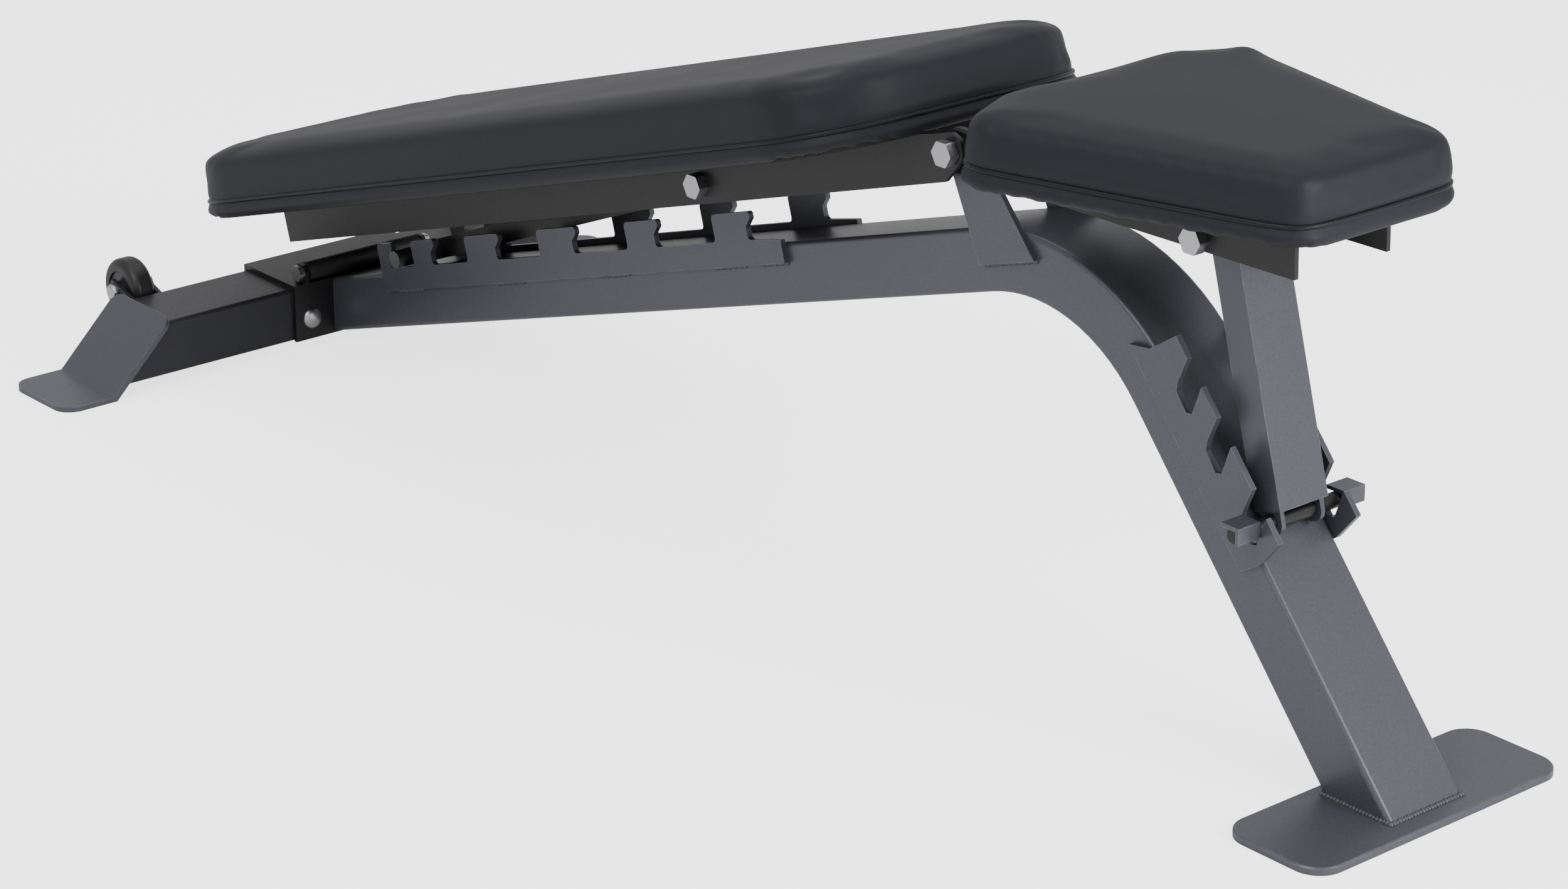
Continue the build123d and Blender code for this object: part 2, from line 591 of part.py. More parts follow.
def seat_outline(inset=0.0):
    rear, front = SEAT_PAD_REAR, SEAT_PAD_FRONT
    points = [(rear, -SEAT_PAD_TAIL_HALF), (rear + SEAT_PAD_SHOULDER, -SEAT_PAD_REAR_HALF)]
    points += [(front, -SEAT_PAD_FRONT_HALF), (front, SEAT_PAD_FRONT_HALF)]
    points += [(rear + SEAT_PAD_SHOULDER, SEAT_PAD_REAR_HALF), (rear, SEAT_PAD_TAIL_HALF)]
    return pad_outline(points, {i: SEAT_PAD_CORNER for i in range(6)}, inset)


def cushion(outline, plane, thick, edge):
    """Upholstered pad: full outline, rounded top edge, with a pocket for its board."""
    solid = extrude(plane * outline(), amount=thick)
    top = solid.faces().sort_by(Axis((0, 0, 0), plane.z_dir))[-1]
    solid = fillet(top.edges(), edge)
    return solid - extrude(plane * outline(BOARD_INSET), amount=BOARD_THICK)


def pad_bolts(plane, spots, head_depth):
    """Screws from under the rails up into the board."""
    group = []
    for x, y in spots:
        head = Pos(x, y, -head_depth - 2.5) * Cylinder(6.0, 5.0)
        group.append(plane.location * head)
    return Compound(group)


def pivot_spacers(spot, inner, outer):
    """Tubes on a pivot bolt between the strut and the rails."""
    group = []
    for side in (-1, 1):
        low, high = sorted((side * inner, side * outer))
        group.append(ring_y(spot, PIVOT_BOLT + SPACER_WALL, PIVOT_BOLT + RUN_CLEARANCE, low, high))
    return Compound(group)


BACK_PLANE = pad_plane(at_back(0, BACK_RAIL_ABOVE), radians(SPINE_SLOPE))
both_sides("backrest_rail", backrest_rail)
parts["backrest_straps"] = backrest_straps()
parts["backrest_board"] = extrude(BACK_PLANE * backrest_outline(BOARD_INSET), amount=BOARD_THICK)
parts["backrest_cushion"] = cushion(backrest_outline, BACK_PLANE, BACK_PAD_THICK, PAD_EDGE)
BACK_BOLTS = [(-behind, side * 43.0) for behind in BACK_STRAPS for side in (-1, 1)]
parts["backrest_pad_bolts"] = pad_bolts(BACK_PLANE, BACK_BOLTS, RAIL_THICK)
parts["back_pivot_bolt"], parts["back_pivot_nut"] = cross_bolt(BACK_PIVOT, PIVOT_BOLT, BACK_RAIL_OUT, -1)
SPACER_IN = STRUT_WIDTH / 2 + STRUT_GAP
parts["back_pivot_spacers"] = pivot_spacers(BACK_PIVOT, SPACER_IN, BACK_RAIL_IN)

# ---- backrest strut -------------------------------------------------------------------------
PIN = at_spine(STRUT_PIN_ALONG, NECK_RISE + STRUT_PIN_RADIUS + SIDE_CLEARANCE)


def bar_between(start, end, thick, before, after):
    """Side-view corners of a straight bar along a line, run past its two ends."""
    dx, dz = end[0] - start[0], end[1] - start[1]
    length = (dx * dx + dz * dz) ** 0.5
    ux, uz = dx / length, dz / length
    nx, nz = -uz * thick / 2, ux * thick / 2
    a = (start[0] - ux * before, start[1] - uz * before)
    b = (end[0] + ux * after, end[1] + uz * after)
    return [(a[0] + nx, a[1] + nz), (b[0] + nx, b[1] + nz), (b[0] - nx, b[1] - nz), (a[0] - nx, a[1] - nz)]


def backrest_strut():
    """Flat box arm that swings from the backrest and catches the comb."""
    round_end = STRUT_THICK / 2 - 1
    points = bar_between(BACK_PIVOT, PIN, STRUT_THICK, 11, 11)
    arm = middle_block(points, STRUT_WIDTH, {0: round_end, 1: round_end, 2: round_end, 3: round_end})
    arm -= rod_y(BACK_PIVOT, PIVOT_BOLT + RUN_CLEARANCE, -100, 100)
    return arm - rod_y(PIN, STRUT_PIN_RADIUS, -100, 100)


parts["backrest_strut"] = backrest_strut()
parts["strut_pin"] = rod_y(PIN, STRUT_PIN_RADIUS, -STRUT_PIN_HALF, STRUT_PIN_HALF)

# ---- seat -----------------------------------------------------------------------------------
SEAT_PIVOT = at_seat(SEAT_STRUT_PIVOT, -SEAT_STRUT_DROP)
SEAT_FLANGE_IN = SEAT_STRUT_WIDTH / 2 + FLANGE_GAP


def seat_rail(side):
    low, top = -SEAT_RAIL_BELOW, SEAT_RAIL_ABOVE
    web = [at_seat(SEAT_RAIL_FRONT, low), at_seat(SEAT_RAIL_FRONT, top), at_seat(30, top), at_seat(12, 15)]
    web += [at_seat(-8, 15), at_seat(-16, 6), at_seat(-16, -8), at_seat(-8, low)]
    rail = side_plate(web, SEAT_RAIL_IN, SEAT_RAIL_OUT, side, {4: 6, 5: 6, 6: 6})
    flange = [at_seat(SEAT_RAIL_FRONT, top - RAIL_THICK), at_seat(SEAT_RAIL_FRONT, top)]
    flange += [at_seat(SEAT_PAD_REAR + 14, top), at_seat(SEAT_PAD_REAR + 14, top - RAIL_THICK)]
    rail += side_plate(flange, SEAT_FLANGE_IN, SEAT_RAIL_IN, side)
    rail -= rod_y(HINGE, AXLE_RADIUS + RUN_CLEARANCE, -200, 200)
    return rail - rod_y(SEAT_PIVOT, PIVOT_BOLT + RUN_CLEARANCE, -200, 200)


SEAT_STRAPS = (130.0, 320.0)
SEAT_STRAP_WIDTH = 36.0


def seat_straps():
    group = []
    half = SEAT_FLANGE_IN
    for along in SEAT_STRAPS:
        low, top = SEAT_RAIL_ABOVE - RAIL_THICK, SEAT_RAIL_ABOVE
        points = [at_seat(along - SEAT_STRAP_WIDTH / 2, low), at_seat(along + SEAT_STRAP_WIDTH / 2, low)]
        points += [at_seat(along + SEAT_STRAP_WIDTH / 2, top), at_seat(along - SEAT_STRAP_WIDTH / 2, top)]
        group.append(middle_block(points, 2 * half))
    return Compound(group)


SEAT_PLANE = pad_plane(at_seat(0, SEAT_RAIL_ABOVE), radians(SEAT_SLOPE))
both_sides("seat_rail", seat_rail)
parts["seat_straps"] = seat_straps()
parts["seat_board"] = extrude(SEAT_PLANE * seat_outline(BOARD_INSET), amount=BOARD_THICK)
parts["seat_cushion"] = cushion(seat_outline, SEAT_PLANE, SEAT_PAD_THICK, SEAT_PAD_EDGE)
SEAT_BOLT_Y = (SEAT_FLANGE_IN + SEAT_RAIL_IN) / 2
SEAT_BOLTS = [(along, side * SEAT_BOLT_Y) for along in SEAT_STRAPS for side in (-1, 1)]
parts["seat_pad_bolts"] = pad_bolts(SEAT_PLANE, SEAT_BOLTS, RAIL_THICK)
parts["seat_pivot_bolt"], parts["seat_pivot_nut"] = cross_bolt(SEAT_PIVOT, PIVOT_BOLT, SEAT_RAIL_OUT, -1)
SEAT_SPACER_IN = SEAT_STRUT_WIDTH / 2 + STRUT_GAP
parts["seat_pivot_spacers"] = pivot_spacers(SEAT_PIVOT, SEAT_SPACER_IN, SEAT_RAIL_IN)

# ---- seat strut -----------------------------------------------------------------------------
CATCH = at_leg(CATCH_ALONG, CATCH_OUT)


def seat_strut():
    """Rectangular tube from the seat down to just above the catch rod."""
    short = -CATCH_RADIUS - ROD_GAP
    points = bar_between(SEAT_PIVOT, CATCH, SEAT_STRUT_THICK, 11, short)
    tube = middle_block(points, SEAT_STRUT_WIDTH)
    inner = bar_between(SEAT_PIVOT, CATCH, SEAT_STRUT_THICK - 2 * SEAT_STRUT_WALL, 12, short + 1)
    tube -= middle_block(inner, SEAT_STRUT_WIDTH - 2 * SEAT_STRUT_WALL)
    return tube - rod_y(SEAT_PIVOT, PIVOT_BOLT + RUN_CLEARANCE, -100, 100)


def strut_tongues():
    """Two plates inside the strut's lower end that hold the catch rod."""
    outer = SEAT_STRUT_WIDTH / 2 - SEAT_STRUT_WALL
    group = []
    for side in (-1, 1):
        points = bar_between(SEAT_PIVOT, CATCH, 2 * TONGUE_HALF, -140, TONGUE_HALF)
        rounds = {1: TONGUE_HALF - 1, 2: TONGUE_HALF - 1}
        tongue = side_plate(points, outer - TONGUE_THICK, outer, side, rounds)
        group.append(tongue - rod_y(CATCH, CATCH_RADIUS, -100, 100))
    return Compound(group)


def grip_angle(side):
    """Angle iron beside the ladder, welded over the catch rod's end, that a hand pulls."""
    x, z = CATCH
    r = CATCH_RADIUS
    t = GRIP_THICK
    low = z + r + t - GRIP_LEG
    points = [(x - r - t, z + r), (x + r, z + r), (x + r, low), (x + r + t, low)]
    points += [(x + r + t, z + r + t), (x - r - t, z + r + t)]
    return side_plate(points, PLATE_OUT + GRIP_GAP, GRIP_HALF, side)


parts["seat_strut"] = seat_strut()
parts["strut_tongues"] = strut_tongues()
parts["catch_rod"] = rod_y(CATCH, CATCH_RADIUS, -CATCH_HALF, CATCH_HALF)
both_sides("grip_angle", grip_angle)

# ---- files ----------------------------------------------------------------------------------
os.makedirs("parts", exist_ok=True)
for name, part in parts.items():
    export_step(part, f"parts/{name}.step")

for word, spot in (("hinge", HINGE), ("back_pivot", BACK_PIVOT), ("pin", PIN), ("seat_pivot", SEAT_PIVOT)):
    print(word, [round(value, 3) for value in spot])
print("catch", [round(value, 3) for value in CATCH])
print("wheel", [round(WHEEL_X - MIDDLE_X, 3), WHEEL_Y, WHEEL_HEIGHT])
print("middle", round(MIDDLE_X, 3))
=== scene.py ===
# %% [markdown]
# An adjustable weight bench stands on a bent box tube. Its steel parts come ready made from
# the frame, at their real size. This lesson gives them paint, zinc and rubber, then makes
# what a solid modeller can't: two stuffed vinyl pads with piping, and the weld beads.
# Everything is in metres, with +X towards the seat and +Z up.

# %% Load the frame
import json
from math import cos, exp, radians, sin

import bmesh
import bpy
from mathutils import Matrix, Vector


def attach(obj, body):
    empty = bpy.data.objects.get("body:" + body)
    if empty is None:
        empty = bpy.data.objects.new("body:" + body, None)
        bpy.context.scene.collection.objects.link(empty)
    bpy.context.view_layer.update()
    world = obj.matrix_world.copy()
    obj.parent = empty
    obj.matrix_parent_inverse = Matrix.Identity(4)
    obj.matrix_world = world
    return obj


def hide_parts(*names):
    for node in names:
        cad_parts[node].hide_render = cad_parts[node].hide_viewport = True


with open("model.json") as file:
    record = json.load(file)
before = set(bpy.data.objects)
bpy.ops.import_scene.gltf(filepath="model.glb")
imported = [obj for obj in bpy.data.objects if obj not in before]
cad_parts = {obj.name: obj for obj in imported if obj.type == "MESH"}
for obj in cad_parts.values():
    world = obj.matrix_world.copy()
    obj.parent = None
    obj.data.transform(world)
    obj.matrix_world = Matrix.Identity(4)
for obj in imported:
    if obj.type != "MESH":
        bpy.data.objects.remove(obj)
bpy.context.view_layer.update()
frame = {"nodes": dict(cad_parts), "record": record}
record = frame["record"]
joints = {joint["name"]: joint for joint in record["behaviour"]["joints"]}
HINGE = Vector(joints["backrest_hinge"]["pos_m"])

# %% [markdown]
# The bench leans three ways: its spine and backrest climb towards the seat, its leg falls to
# the front foot, and its seat is nearly level. Keeping each slope once, with a helper that
# turns "along and out" into a place, lets every bead and seam be put where a maker would say.

# %% Slopes and places
SPINE_SLOPE = radians(17.4)
LEG_SLOPE = radians(49.8)
SEAT_SLOPE = radians(1.2)
TUBE_HALF = 0.038
TUBE_DEPTH = 0.050
PLATE_OUT = 0.043
SPINE_REACH = 1.310
CROSS_CLEAR = 0.011
FOOT_THICK = 0.006
LEG_BASE_X = 0.7145


def on_spine(along, rise, y=0.0):
    """A place along the spine from its rear lower edge, and square to it."""
    x = LEG_BASE_X - SPINE_REACH + along * cos(SPINE_SLOPE) - rise * sin(SPINE_SLOPE)
    z = CROSS_CLEAR + along * sin(SPINE_SLOPE) + rise * cos(SPINE_SLOPE)
    return Vector((x, y, z))


def on_leg(along, out, y=0.0):
    """A place up the leg's front face from the foot plate, and out from it."""
    x = LEG_BASE_X - along * cos(LEG_SLOPE) + out * sin(LEG_SLOPE)
    z = FOOT_THICK + along * sin(LEG_SLOPE) + out * cos(LEG_SLOPE)
    return Vector((x, y, z))


def pad_place(slope):
    """The pad's own directions at the hinge: x ahead along the pad, z square to it."""
    return Matrix.Translation(HINGE) @ Matrix.Rotation(-slope, 4, "Y")


# %% [markdown]
# A material is built from nodes. Two helpers keep that short: one adds a node and sets its
# plain values, and one starts a material or a group with named sockets.

# %% Node helpers
def add_node(tree, kind, values=None, **settings):
    node = tree.nodes.new(kind)
    for key, value in settings.items():
        setattr(node, key, value)
    for key, value in (values or {}).items():
        node.inputs[key].default_value = value
    return node


def start_group(name, inputs, outputs):
    tree = bpy.data.node_groups.new(name, "ShaderNodeTree")
    for word, value in inputs.items():
        tree.interface.new_socket(word, in_out="INPUT", socket_type="NodeSocketFloat").default_value = value
    for word in outputs:
        tree.interface.new_socket(word, in_out="OUTPUT", socket_type="NodeSocketFloat")
    return tree, tree.nodes.new("NodeGroupInput"), tree.nodes.new("NodeGroupOutput")


def start_material(name, values):
    material = bpy.data.materials.new(name)
    material.use_nodes = True
    tree = material.node_tree
    shader = tree.nodes["Principled BSDF"]
    for key, value in values.items():
        shader.inputs[key].default_value = value
    return material, tree, shader


# %% [markdown]
# Paint thins and polishes where two faces meet. A Bevel node rounds the normal near an edge,
# so comparing it with the plain normal finds the edges. Noise breaks the line up, because
# real wear is never even.

# %% Edge wear, shared by every painted part
def make_edge_wear():
    tree, given, result = start_group("edge_wear", {"Reach": 0.0012, "Patches": 45.0}, ["Mask"])
    link = tree.links.new
    rounded = add_node(tree, "ShaderNodeBevel", samples=6)
    plain = add_node(tree, "ShaderNodeNewGeometry")
    facing = add_node(tree, "ShaderNodeVectorMath", operation="DOT_PRODUCT")
    edge = add_node(tree, "ShaderNodeMapRange", {"From Min": 0.992, "From Max": 0.90})
    place = add_node(tree, "ShaderNodeTexCoord")
    cloudy = add_node(tree, "ShaderNodeTexNoise", {"Detail": 4.0, "Roughness": 0.6})
    patch = add_node(tree, "ShaderNodeMapRange", {"From Min": 0.38, "From Max": 0.62})
    both = add_node(tree, "ShaderNodeMath", operation="MULTIPLY")
    link(given.outputs["Reach"], rounded.inputs["Radius"])
    link(rounded.outputs["Normal"], facing.inputs[0])
    link(plain.outputs["Normal"], facing.inputs[1])
    link(facing.outputs["Value"], edge.inputs["Value"])
    link(place.outputs["Object"], cloudy.inputs["Vector"])
    link(given.outputs["Patches"], cloudy.inputs["Scale"])
    link(cloudy.outputs["Fac"], patch.inputs["Value"])
    link(edge.outputs["Result"], both.inputs[0])
    link(patch.outputs["Result"], both.inputs[1])
    link(both.outputs["Value"], result.inputs["Mask"])
    return tree


EDGE_WEAR = make_edge_wear()

# %% [markdown]
# Powder coat is sprayed dry and melted, so it keeps a faint orange-peel ripple with fine
# flakes in it. One noise gives the ripple's height and a finer one the flakes.

# %% Coat grain, shared by the paints
def make_coat_grain():
    tree, given, result = start_group("coat_grain", {"Ripple": 420.0, "Flakes": 2600.0}, ["Height", "Flake"])
    link = tree.links.new
    place = add_node(tree, "ShaderNodeTexCoord")
    for word, socket, detail in (("Ripple", "Height", 2.0), ("Flakes", "Flake", 1.0)):
        speckle = add_node(tree, "ShaderNodeTexNoise", {"Detail": detail})
        link(place.outputs["Object"], speckle.inputs["Vector"])
        link(given.outputs[word], speckle.inputs["Scale"])
        link(speckle.outputs["Fac"], result.inputs[socket])
    return tree


COAT_GRAIN = make_coat_grain()


# %% [markdown]
# All the paints share one recipe and differ only in colour, gloss and flake. The flakes
# lift the colour a little, and the worn edge shows a paler coat.

# %% Painted steel
def powder_coat(name, colour, worn, gloss, metal, flake=0.35, wear=0.7):
    material, tree, shader = start_material(name, {"Metallic": metal, "Specular IOR Level": 0.4})
    link = tree.links.new
    grain = add_node(tree, "ShaderNodeGroup", node_tree=COAT_GRAIN)
    edges = add_node(tree, "ShaderNodeGroup", node_tree=EDGE_WEAR)
    edges.inputs["Reach"].default_value = 0.0012
    edges.inputs["Patches"].default_value = 45.0
    grain.inputs["Ripple"].default_value = 420.0
    grain.inputs["Flakes"].default_value = 2600.0
    bright = tuple(min(1.0, c * (1 + flake * 2)) for c in colour)
    sparkle = add_node(tree, "ShaderNodeMix", data_type="RGBA")
    sparkle.inputs["A"].default_value = (*colour, 1)
    sparkle.inputs["B"].default_value = (*bright, 1)
    lift = add_node(tree, "ShaderNodeMapRange", {"From Min": 0.5, "From Max": 0.75})
    amount = add_node(tree, "ShaderNodeMath", {1: wear}, operation="MULTIPLY")
    rubbed = add_node(tree, "ShaderNodeMix", data_type="RGBA")
    rubbed.inputs["B"].default_value = (*worn, 1)
    dull = add_node(tree, "ShaderNodeMapRange", {"To Min": gloss - 0.06, "To Max": gloss + 0.08})
    ripple = add_node(tree, "ShaderNodeBump", {"Strength": 0.18, "Distance": 0.0004})
    link(grain.outputs["Flake"], lift.inputs["Value"])
    link(lift.outputs["Result"], sparkle.inputs["Factor"])
    link(edges.outputs["Mask"], amount.inputs[0])
    link(amount.outputs["Value"], rubbed.inputs["Factor"])
    link(sparkle.outputs["Result"], rubbed.inputs["A"])
    link(rubbed.outputs["Result"], shader.inputs["Base Color"])
    link(grain.outputs["Height"], dull.inputs["Value"])
    link(dull.outputs["Result"], shader.inputs["Roughness"])
    link(grain.outputs["Height"], ripple.inputs["Height"])
    link(ripple.outputs["Normal"], shader.inputs["Normal"])
    return material


FINISHES = {
    "frame_paint": powder_coat("frame_paint", (0.072, 0.073, 0.088), (0.24, 0.24, 0.26), 0.34, 0.45, wear=0.6),
    "stabiliser_paint": powder_coat("stabiliser_paint", (0.020, 0.020, 0.025), (0.10, 0.10, 0.11), 0.38, 0.30, wear=0.4),
    "rail_paint": powder_coat("rail_paint", (0.006, 0.006, 0.007), (0.03, 0.03, 0.032), 0.40, 0.0, flake=0.1, wear=0.4),
}
BEAD_PAINT = powder_coat("bead_paint", (0.070, 0.070, 0.080), (0.070, 0.070, 0.080), 0.42, 0.35, wear=0.0)
print("paints", sorted(FINISHES))


# %% [markdown]
# Zinc plate and turned steel are bare metal. Fine scratches from the lathe or the plating
# drum change how sharp the reflection is, more than its colour.

# %% Plated and turned steel
def bare_metal(name, colour, gloss, scratch):
    material, tree, shader = start_material(name, {"Metallic": 1.0})
    link = tree.links.new
    place = add_node(tree, "ShaderNodeTexCoord")
    fine = add_node(tree, "ShaderNodeTexNoise", {"Scale": scratch, "Detail": 5.0})
    dull = add_node(tree, "ShaderNodeMapRange", {"To Min": gloss - 0.08, "To Max": gloss + 0.14})
    tint = add_node(tree, "ShaderNodeMix", data_type="RGBA")
    tint.inputs["A"].default_value = (*(c * 0.78 for c in colour), 1)
    tint.inputs["B"].default_value = (*colour, 1)
    relief = add_node(tree, "ShaderNodeBump", {"Strength": 0.12, "Distance": 0.0002})
    link(place.outputs["Object"], fine.inputs["Vector"])
    link(fine.outputs["Fac"], dull.inputs["Value"])
    link(fine.outputs["Fac"], tint.inputs["Factor"])
    link(fine.outputs["Fac"], relief.inputs["Height"])
    link(dull.outputs["Result"], shader.inputs["Roughness"])
    link(tint.outputs["Result"], shader.inputs["Base Color"])
    link(relief.outputs["Normal"], shader.inputs["Normal"])
    return material


FINISHES["bolt_zinc"] = bare_metal("bolt_zinc", (0.50, 0.50, 0.52), 0.30, 260.0)
FINISHES["pin_steel"] = bare_metal("pin_steel", (0.30, 0.30, 0.32), 0.30, 520.0)


# %% [markdown]
# Rubber and moulded plastic are dark and dull, with a faint mottle where dust settles.

# %% Rubber and plastic
def moulded(name, colour, gloss, mottle, relief_depth):
    material, tree, shader = start_material(name, {"Specular IOR Level": 0.4})
    link = tree.links.new
    place = add_node(tree, "ShaderNodeTexCoord")
    cloudy = add_node(tree, "ShaderNodeTexNoise", {"Scale": mottle, "Detail": 6.0})
    tint = add_node(tree, "ShaderNodeMix", data_type="RGBA")
    tint.inputs["A"].default_value = (*colour, 1)
    tint.inputs["B"].default_value = (*(c * 1.9 for c in colour), 1)
    dull = add_node(tree, "ShaderNodeMapRange", {"To Min": gloss - 0.1, "To Max": gloss + 0.1})
    relief = add_node(tree, "ShaderNodeBump", {"Strength": 0.25, "Distance": relief_depth})
    link(place.outputs["Object"], cloudy.inputs["Vector"])
    for target, socket in ((tint, "Factor"), (dull, "Value"), (relief, "Height")):
        link(cloudy.outputs["Fac"], target.inputs[socket])
    link(tint.outputs["Result"], shader.inputs["Base Color"])
    link(dull.outputs["Result"], shader.inputs["Roughness"])
    link(relief.outputs["Normal"], shader.inputs["Normal"])
    return material


FINISHES["sleeve_rubber"] = moulded("sleeve_rubber", (0.012, 0.012, 0.012), 0.50, 180.0, 0.0004)
FINISHES["tyre"] = moulded("tyre", (0.009, 0.009, 0.009), 0.40, 150.0, 0.0003)
FINISHES["hub_plastic"] = moulded("hub_plastic", (0.014, 0.014, 0.015), 0.32, 220.0, 0.0002)


# %% [markdown]
# The boards are stained black, yet their grain still shows as long streaks. Stretching the
# noise along X does that: a Mapping node squeezes the coordinates across the grain.

# %% Plywood
def plywood():
    material, tree, shader = start_material("board", {"Roughness": 0.75})
    link = tree.links.new
    place = add_node(tree, "ShaderNodeTexCoord")
    stretch = add_node(tree, "ShaderNodeMapping", {"Scale": (4.0, 60.0, 90.0)})
    grain = add_node(tree, "ShaderNodeTexNoise", {"Scale": 3.0, "Detail": 8.0, "Distortion": 0.4})
    tint = add_node(tree, "ShaderNodeValToRGB")
    tint.color_ramp.elements[0].color = (0.008, 0.007, 0.006, 1)
    tint.color_ramp.elements[1].color = (0.024, 0.021, 0.018, 1)
    relief = add_node(tree, "ShaderNodeBump", {"Strength": 0.3, "Distance": 0.0004})
    link(place.outputs["Object"], stretch.inputs["Vector"])
    link(stretch.outputs["Vector"], grain.inputs["Vector"])
    link(grain.outputs["Fac"], tint.inputs["Fac"])
    link(grain.outputs["Fac"], relief.inputs["Height"])
    link(tint.outputs["Color"], shader.inputs["Base Color"])
    link(relief.outputs["Normal"], shader.inputs["Normal"])
    return material


FINISHES["board"] = plywood()


# %% [markdown]
# Upholstery vinyl is pressed with a leather grain: small rounded cells with creases
# between them, about a millimetre across. A Voronoi texture has just that shape, and a
# slow noise over it gives the uneven sheen of a handled pad.

# %% Vinyl
def pad_vinyl(name, colour, gloss):
    material, tree, shader = start_material(name, {"Specular IOR Level": 0.22})
    link = tree.links.new
    place = add_node(tree, "ShaderNodeTexCoord")
    cells = add_node(tree, "ShaderNodeTexVoronoi", {"Scale": 780.0}, feature="SMOOTH_F1")
    slow = add_node(tree, "ShaderNodeTexNoise", {"Scale": 9.0, "Detail": 3.0})
    tint = add_node(tree, "ShaderNodeMix", data_type="RGBA")
    tint.inputs["A"].default_value = (*(c * 0.88 for c in colour), 1)
    tint.inputs["B"].default_value = (*(c * 1.14 for c in colour), 1)
    dull = add_node(tree, "ShaderNodeMapRange", {"To Min": gloss - 0.05, "To Max": gloss + 0.07})
    relief = add_node(tree, "ShaderNodeBump", {"Strength": 0.22, "Distance": 0.0004})
    link(place.outputs["Object"], cells.inputs["Vector"])
    link(place.outputs["Object"], slow.inputs["Vector"])
    link(slow.outputs["Fac"], tint.inputs["Factor"])
    link(slow.outputs["Fac"], dull.inputs["Value"])
    link(cells.outputs["Distance"], relief.inputs["Height"])
    link(tint.outputs["Result"], shader.inputs["Base Color"])
    link(dull.outputs["Result"], shader.inputs["Roughness"])
    link(relief.outputs["Normal"], shader.inputs["Normal"])
    return material


FINISHES["vinyl"] = pad_vinyl("vinyl", (0.0115, 0.0118, 0.0165), 0.52)
PIPING_VINYL = pad_vinyl("piping_vinyl", (0.007, 0.007, 0.009), 0.40)

# %% [markdown]
# The record says which finish each steel part takes. The part's own mesh is left alone and
# only its material changes.

# %% Finish every part of the frame
for part in record["subparts"]:
    mesh = frame["nodes"][part["node"]].data
    mesh.materials.clear()
    mesh.materials.append(FINISHES[part["material_slot"]])
print("finished", len(record["subparts"]), "parts")


# %% [markdown]
# A stuffed pad is foam on a board with vinyl pulled over it, so its top is crowned and its
# walls bow. Modelling that by hand looks stiff. Here the plain pad is shrunk a little, cut
# into even small squares, and blown up as cloth with its underside held, as staples hold it.

# %% Stuffed pads
VOXEL = 0.005
HELD_RISE = 0.020
CLOTH_FRAMES = 20


def plain_pad(node, place, shrink, drop):
    """The frame's plain pad in its own directions, a little smaller so it can swell."""
    bm = bmesh.new()
    bm.from_mesh(frame["nodes"][node].data)
    bmesh.ops.remove_doubles(bm, verts=bm.verts, dist=1e-5)
    bmesh.ops.transform(bm, matrix=place.inverted(), verts=bm.verts)
    low = min(v.co.z for v in bm.verts)
    high = max(v.co.z for v in bm.verts)
    middle_x = sum((max(v.co.x for v in bm.verts), min(v.co.x for v in bm.verts))) / 2
    for vert in bm.verts:
        share = (vert.co.z - low) / (high - low)
        vert.co.x = middle_x + (vert.co.x - middle_x) * (1 - shrink * share)
        vert.co.y *= 1 - shrink * 2 * share
        vert.co.z -= drop * share
    return bm, low


def swell(piece, low, push, cap):
    """Blows the pad up as cloth with its underside held, no further than the cap."""
    start = [vert.co.copy() for vert in piece.data.vertices]
    held = piece.vertex_groups.new(name="held")
    held.add([i for i, co in enumerate(start) if co.z < low + HELD_RISE], 1.0, "REPLACE")
    cloth = piece.modifiers.new("stuffing", "CLOTH")
    cloth.settings.use_pressure = True
    cloth.settings.uniform_pressure_force = push
    cloth.settings.vertex_group_mass = "held"
    cloth.settings.effector_weights.gravity = 0.0
    cloth.point_cache.frame_end = CLOTH_FRAMES
    for step in range(1, CLOTH_FRAMES + 1):
        bpy.context.scene.frame_set(step)
    seen = piece.evaluated_get(bpy.context.evaluated_depsgraph_get())
    moved = [vert.co.copy() for vert in seen.data.vertices]
    piece.modifiers.clear()
    furthest = 0.0
    for vert, before, after in zip(piece.data.vertices, start, moved):
        step = after - before
        if step.length > cap:
            step.length = cap
        furthest = max(furthest, step.length)
        vert.co = before + step
    bpy.context.scene.frame_set(1)
    return furthest


def stuffed_pad(name, node, place, shrink, drop, push, cap):
    bm, low = plain_pad(node, place, shrink, drop)
    mesh = bpy.data.meshes.new(name)
    bm.to_mesh(mesh)
    bm.free()
    piece = bpy.data.objects.new(name, mesh)
    bpy.context.scene.collection.objects.link(piece)
    cut = piece.modifiers.new("even squares", "REMESH")
    cut.mode = "VOXEL"
    cut.voxel_size = VOXEL
    even = bpy.data.meshes.new_from_object(piece.evaluated_get(bpy.context.evaluated_depsgraph_get()))
    piece.modifiers.clear()
    piece.data = even
    furthest = swell(piece, low, push, cap)
    print(name, "squares", len(even.polygons), "furthest mm", round(furthest * 1000, 1))
    return piece, low


BACK_PLACE = pad_place(SPINE_SLOPE)
SEAT_PLACE = pad_place(SEAT_SLOPE)
back_pad, back_low = stuffed_pad("backrest_pad", "backrest_cushion", BACK_PLACE, 0.002, 0.001, 4.0, 0.0040)
seat_pad, seat_low = stuffed_pad("seat_pad", "seat_cushion", SEAT_PLACE, 0.006, 0.001, 4.0, 0.0035)


# %% [markdown]
# The cover's top panel is sewn to its side band with a line of piping, and the seam pulls the
# foam in. Vertices near that height are drawn inwards, and the band below flares to a lip.

# %% Seam groove and lip
SEAM_RISE = 0.016
CALM_PASSES = 4
FLAT_RISE = 0.003
GROOVE_REACH = 0.0045
GROOVE_DEPTH = 0.0030
LIP_RISE = 0.007
LIP_FLARE = 0.0016


